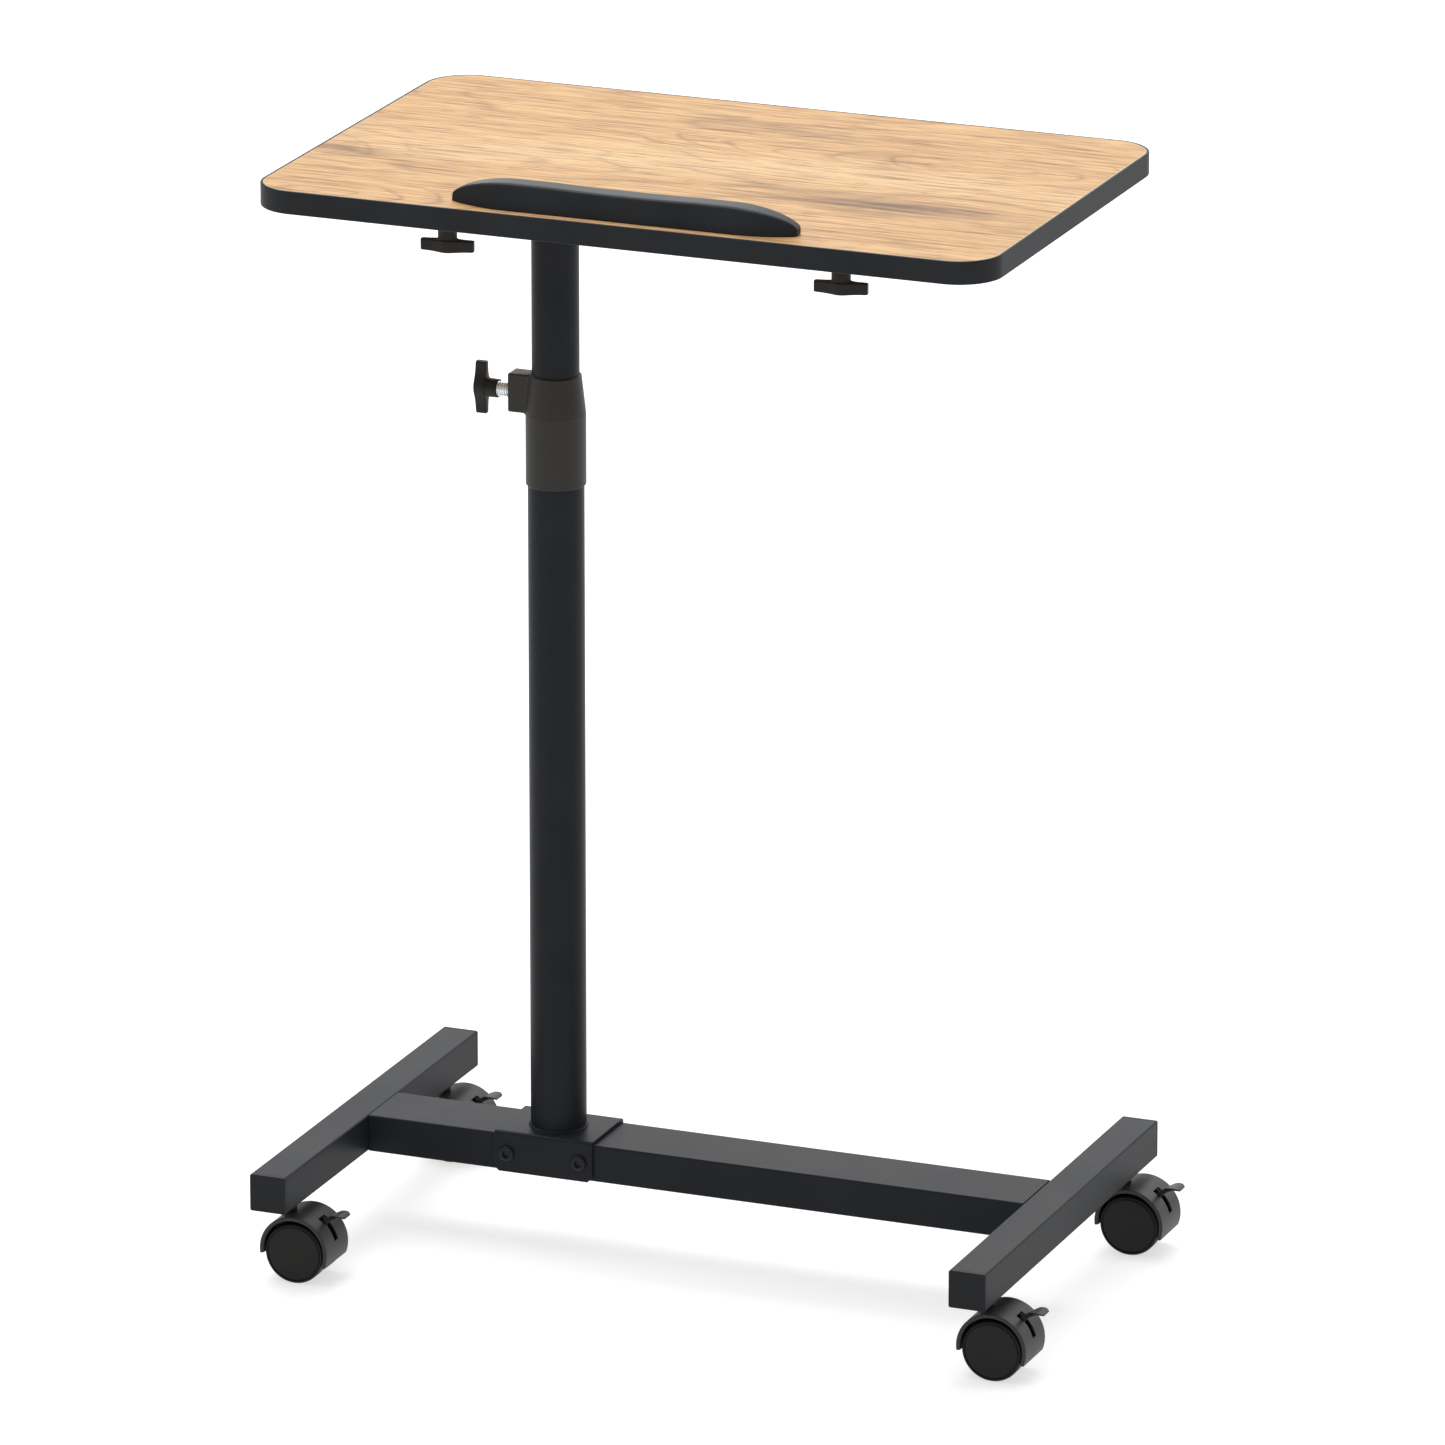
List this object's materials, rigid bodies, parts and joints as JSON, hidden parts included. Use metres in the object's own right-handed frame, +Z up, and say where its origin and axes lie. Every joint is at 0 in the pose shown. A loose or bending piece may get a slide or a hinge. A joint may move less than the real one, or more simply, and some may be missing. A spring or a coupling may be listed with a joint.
{
  "type": "overbed table",
  "caption": "Mobile overbed table: tilting oak-laminate board with a stop bar on a telescopic off-centre column, H base, braked twin-wheel casters.",
  "frame": {"origin": "on the floor, under the middle of the whole outline (the board's middle is 16 mm to the left of it)", "axes": "+X to the user's right, +Y away from the user, +Z up"},
  "size_m": [0.6473, 0.382, 0.9073],
  "materials": {
    "oak_laminate": "satin",
    "edge_black": "matte",
    "stop_black": "satin",
    "black_steel": "powder coated",
    "cap_plastic": "matte",
    "collar_plastic": "matte",
    "caster_plastic": "matte",
    "wheel_plastic": "matte",
    "zinc_steel": "zinc plated",
    "black_screw": "black oxide",
    "white_nylon": "matte",
    "pad_rubber": "matte"
  },
  "bodies": {
    "base": {"left_leg": "black_steel", "right_leg": "black_steel", "left_leg_cap_front": "cap_plastic", "left_leg_cap_rear": "cap_plastic", "right_leg_cap_front": "cap_plastic", "right_leg_cap_rear": "cap_plastic", "crossbar": "black_steel", "column_bracket": "black_steel", "bracket_screw_left": "black_screw", "bracket_screw_right": "black_screw", "outer_tube": "black_steel", "collar": "collar_plastic", "upper_glide_bush": "white_nylon", "caster_front_left_stem": "zinc_steel", "caster_front_right_stem": "zinc_steel", "caster_rear_left_stem": "zinc_steel", "caster_rear_right_stem": "zinc_steel"},
    "column_slide": {"lower_glide_bush": "white_nylon"},
    "column_head": {"inner_tube": "black_steel", "tilt_rail": "black_steel", "tilt_arm_left": "black_steel", "tilt_arm_right": "black_steel", "pivot_rod": "zinc_steel", "rest_pad_left": "pad_rubber", "rest_pad_right": "pad_rubber"},
    "board": {"board_core": "oak_laminate", "edge_band": "edge_black", "stop_bar": "stop_black", "board_saddle_left": "black_steel", "board_saddle_right": "black_steel"},
    "column_pad": {"column_clamp_pad": "white_nylon"},
    "column_knob": {"column_stud": "zinc_steel", "column_knob": "collar_plastic"},
    "jaw_left": {"board_jaw_left": "black_steel"},
    "knob_left": {"board_stud_left": "zinc_steel", "board_knob_left": "collar_plastic"},
    "jaw_right": {"board_jaw_right": "black_steel"},
    "knob_right": {"board_stud_right": "zinc_steel", "board_knob_right": "collar_plastic"},
    "caster_front_left_fork": {"caster_front_left_hood": "caster_plastic", "caster_front_left_axle": "zinc_steel"},
    "caster_front_left_roller_front": {"caster_front_left_wheel_front": "wheel_plastic"},
    "caster_front_left_roller_rear": {"caster_front_left_wheel_rear": "wheel_plastic"},
    "caster_front_left_brake": {"caster_front_left_pedal": "caster_plastic"},
    "caster_front_right_fork": {"caster_front_right_hood": "caster_plastic", "caster_front_right_axle": "zinc_steel"},
    "caster_front_right_roller_front": {"caster_front_right_wheel_front": "wheel_plastic"},
    "caster_front_right_roller_rear": {"caster_front_right_wheel_rear": "wheel_plastic"},
    "caster_front_right_brake": {"caster_front_right_pedal": "caster_plastic"},
    "caster_rear_left_fork": {"caster_rear_left_hood": "caster_plastic", "caster_rear_left_axle": "zinc_steel"},
    "caster_rear_left_roller_front": {"caster_rear_left_wheel_front": "wheel_plastic"},
    "caster_rear_left_roller_rear": {"caster_rear_left_wheel_rear": "wheel_plastic"},
    "caster_rear_left_brake": {"caster_rear_left_pedal": "caster_plastic"},
    "caster_rear_right_fork": {"caster_rear_right_hood": "caster_plastic", "caster_rear_right_axle": "zinc_steel"},
    "caster_rear_right_roller_front": {"caster_rear_right_wheel_front": "wheel_plastic"},
    "caster_rear_right_roller_rear": {"caster_rear_right_wheel_rear": "wheel_plastic"},
    "caster_rear_right_brake": {"caster_rear_right_pedal": "caster_plastic"}
  },
  "joints": [
    {"name": "column_lift", "type": "slide", "parent": "base", "child": "column_slide", "axis": [0, 0, 1], "range_m": [-0.12, 0.13]},
    {"name": "column_swivel", "type": "hinge", "parent": "column_slide", "child": "column_head", "pos_m": [-0.1417, 0, 0.7], "axis": [0, 0, 1], "continuous": true},
    {"name": "board_tilt", "type": "hinge", "parent": "column_head", "child": "board", "pos_m": [-0.016, -0.113, 0.8615], "axis": [1, 0, 0], "range_deg": [0, 40]},
    {"name": "column_pad_press", "type": "slide", "parent": "base", "child": "column_pad", "axis": [-1, 0, 0], "range_m": [0, 0.0035]},
    {"name": "column_knob_turn", "type": "hinge", "parent": "column_pad", "child": "column_knob", "pos_m": [-0.1917, 0, 0.692], "axis": [-1, 0, 0], "range_deg": [0, 720]},
    {"name": "jaw_left_press", "type": "slide", "parent": "board", "child": "jaw_left", "axis": [0, 0, -1], "range_m": [0, 0.0025]},
    {"name": "knob_left_turn", "type": "hinge", "parent": "jaw_left", "child": "knob_left", "pos_m": [-0.1764, -0.128, 0.852], "axis": [0, 0, -1], "range_deg": [0, 720]},
    {"name": "jaw_right_press", "type": "slide", "parent": "board", "child": "jaw_right", "axis": [0, 0, -1], "range_m": [0, 0.0025]},
    {"name": "knob_right_turn", "type": "hinge", "parent": "jaw_right", "child": "knob_right", "pos_m": [0.1444, -0.128, 0.852], "axis": [0, 0, -1], "range_deg": [0, 720]},
    {"name": "caster_front_left_swivel", "type": "hinge", "parent": "base", "child": "caster_front_left_fork", "pos_m": [-0.3071, -0.1493, 0.05], "axis": [0, 0, 1], "continuous": true},
    {"name": "caster_front_left_spin_front", "type": "hinge", "parent": "caster_front_left_fork", "child": "caster_front_left_roller_front", "pos_m": [-0.2951, -0.1626, 0.02435], "axis": [0, 1, 0], "continuous": true},
    {"name": "caster_front_left_spin_rear", "type": "hinge", "parent": "caster_front_left_fork", "child": "caster_front_left_roller_rear", "pos_m": [-0.2951, -0.136, 0.02435], "axis": [0, 1, 0], "continuous": true},
    {"name": "caster_front_left_brake_press", "type": "hinge", "parent": "caster_front_left_fork", "child": "caster_front_left_brake", "pos_m": [-0.2831, -0.1493, 0.03835], "axis": [0, 1, 0], "range_deg": [0, 30]},
    {"name": "caster_front_right_swivel", "type": "hinge", "parent": "base", "child": "caster_front_right_fork", "pos_m": [0.2741, -0.1493, 0.05], "axis": [0, 0, 1], "continuous": true},
    {"name": "caster_front_right_spin_front", "type": "hinge", "parent": "caster_front_right_fork", "child": "caster_front_right_roller_front", "pos_m": [0.2861, -0.1626, 0.02435], "axis": [0, 1, 0], "continuous": true},
    {"name": "caster_front_right_spin_rear", "type": "hinge", "parent": "caster_front_right_fork", "child": "caster_front_right_roller_rear", "pos_m": [0.2861, -0.136, 0.02435], "axis": [0, 1, 0], "continuous": true},
    {"name": "caster_front_right_brake_press", "type": "hinge", "parent": "caster_front_right_fork", "child": "caster_front_right_brake", "pos_m": [0.2981, -0.1493, 0.03835], "axis": [0, 1, 0], "range_deg": [0, 30]},
    {"name": "caster_rear_left_swivel", "type": "hinge", "parent": "base", "child": "caster_rear_left_fork", "pos_m": [-0.3071, 0.1544, 0.05], "axis": [0, 0, 1], "continuous": true},
    {"name": "caster_rear_left_spin_front", "type": "hinge", "parent": "caster_rear_left_fork", "child": "caster_rear_left_roller_front", "pos_m": [-0.2951, 0.1411, 0.02435], "axis": [0, 1, 0], "continuous": true},
    {"name": "caster_rear_left_spin_rear", "type": "hinge", "parent": "caster_rear_left_fork", "child": "caster_rear_left_roller_rear", "pos_m": [-0.2951, 0.1677, 0.02435], "axis": [0, 1, 0], "continuous": true},
    {"name": "caster_rear_left_brake_press", "type": "hinge", "parent": "caster_rear_left_fork", "child": "caster_rear_left_brake", "pos_m": [-0.2831, 0.1544, 0.03835], "axis": [0, 1, 0], "range_deg": [0, 30]},
    {"name": "caster_rear_right_swivel", "type": "hinge", "parent": "base", "child": "caster_rear_right_fork", "pos_m": [0.2741, 0.1544, 0.05], "axis": [0, 0, 1], "continuous": true},
    {"name": "caster_rear_right_spin_front", "type": "hinge", "parent": "caster_rear_right_fork", "child": "caster_rear_right_roller_front", "pos_m": [0.2861, 0.1411, 0.02435], "axis": [0, 1, 0], "continuous": true},
    {"name": "caster_rear_right_spin_rear", "type": "hinge", "parent": "caster_rear_right_fork", "child": "caster_rear_right_roller_rear", "pos_m": [0.2861, 0.1677, 0.02435], "axis": [0, 1, 0], "continuous": true},
    {"name": "caster_rear_right_brake_press", "type": "hinge", "parent": "caster_rear_right_fork", "child": "caster_rear_right_brake", "pos_m": [0.2981, 0.1544, 0.03835], "axis": [0, 1, 0], "range_deg": [0, 30]}
  ],
  "couplings": [
    {"joint": "column_knob_turn", "follows": "column_pad_press", "rad_per_m": 3590.3},
    {"joint": "knob_left_turn", "follows": "jaw_left_press", "rad_per_m": 5026.5},
    {"joint": "knob_right_turn", "follows": "jaw_right_press", "rad_per_m": 5026.5}
  ]
}
